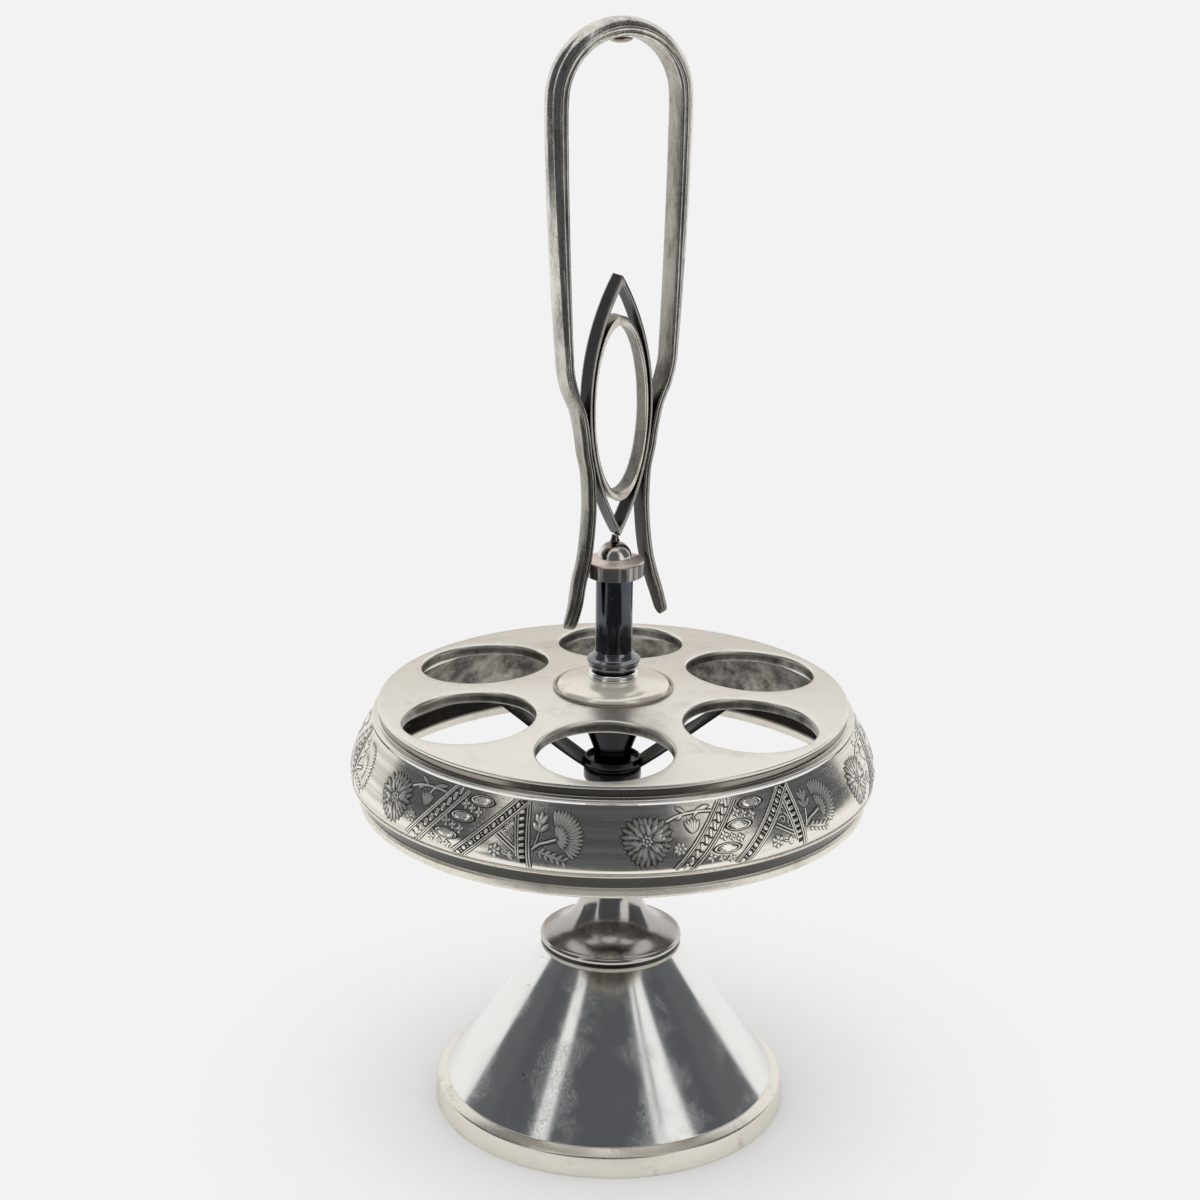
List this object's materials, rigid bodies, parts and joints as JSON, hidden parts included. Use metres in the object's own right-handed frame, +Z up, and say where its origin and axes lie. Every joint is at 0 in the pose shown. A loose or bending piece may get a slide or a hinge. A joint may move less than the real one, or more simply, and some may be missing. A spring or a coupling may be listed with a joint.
{
  "type": "revolving cruet stand",
  "caption": "Pedestal stand with a tall loop handle and a round tray that turns, holed to hold cruet bottles by the shoulder.",
  "frame": {"origin": "on the ground under the upright axis, at the middle of the foot's lower face", "axes": "+Z up along the axis; -Y towards the viewer of the picture; +X to the viewer's right"},
  "size_m": [0.1936, 0.1936, 0.4052],
  "materials": {
    "silver_polished": "polished silver plate, softly mirror-like",
    "silver_satin": "worn satin silver plate, warm and pale",
    "silver_oxidised": "silver plate darkened in its recesses",
    "silver_dark": "tarnished plate under the tray",
    "brass": "dull bare brass",
    "steel": "plain dark steel"
  },
  "bodies": {
    "stand": {"foot_ring": "silver_satin", "foot_cone": "silver_polished", "collar_ring": "silver_satin", "pedestal_trumpet": "silver_polished", "pedestal_head": "silver_dark", "thrust_washer": "brass", "spindle_sleeve": "silver_dark", "retaining_washer": "brass", "column_foot": "silver_polished", "column_tube": "silver_polished", "cap_disc": "silver_oxidised", "dome_nut": "silver_polished", "tie_rod": "steel", "base_washer": "brass", "base_nut": "steel", "handle_bow": "silver_polished", "handle_pip": "silver_polished", "handle_vesica": "silver_polished", "handle_oval_ring": "silver_oxidised", "handle_neck": "silver_polished"},
    "tray": {"tray_plate": "silver_satin", "tray_ledge": "silver_satin", "tray_skirt": "silver_oxidised", "tray_foot_rim": "silver_satin", "tray_dome": "silver_satin", "dome_bead": "silver_oxidised", "dome_collar": "silver_polished", "hub_funnel": "silver_dark", "hub_strap": "silver_dark"}
  },
  "joints": [
    {"name": "tray_spin", "type": "hinge", "parent": "stand", "child": "tray", "pos_m": [0, 0, 0.161], "axis": [0, 0, 1], "continuous": true}
  ]
}
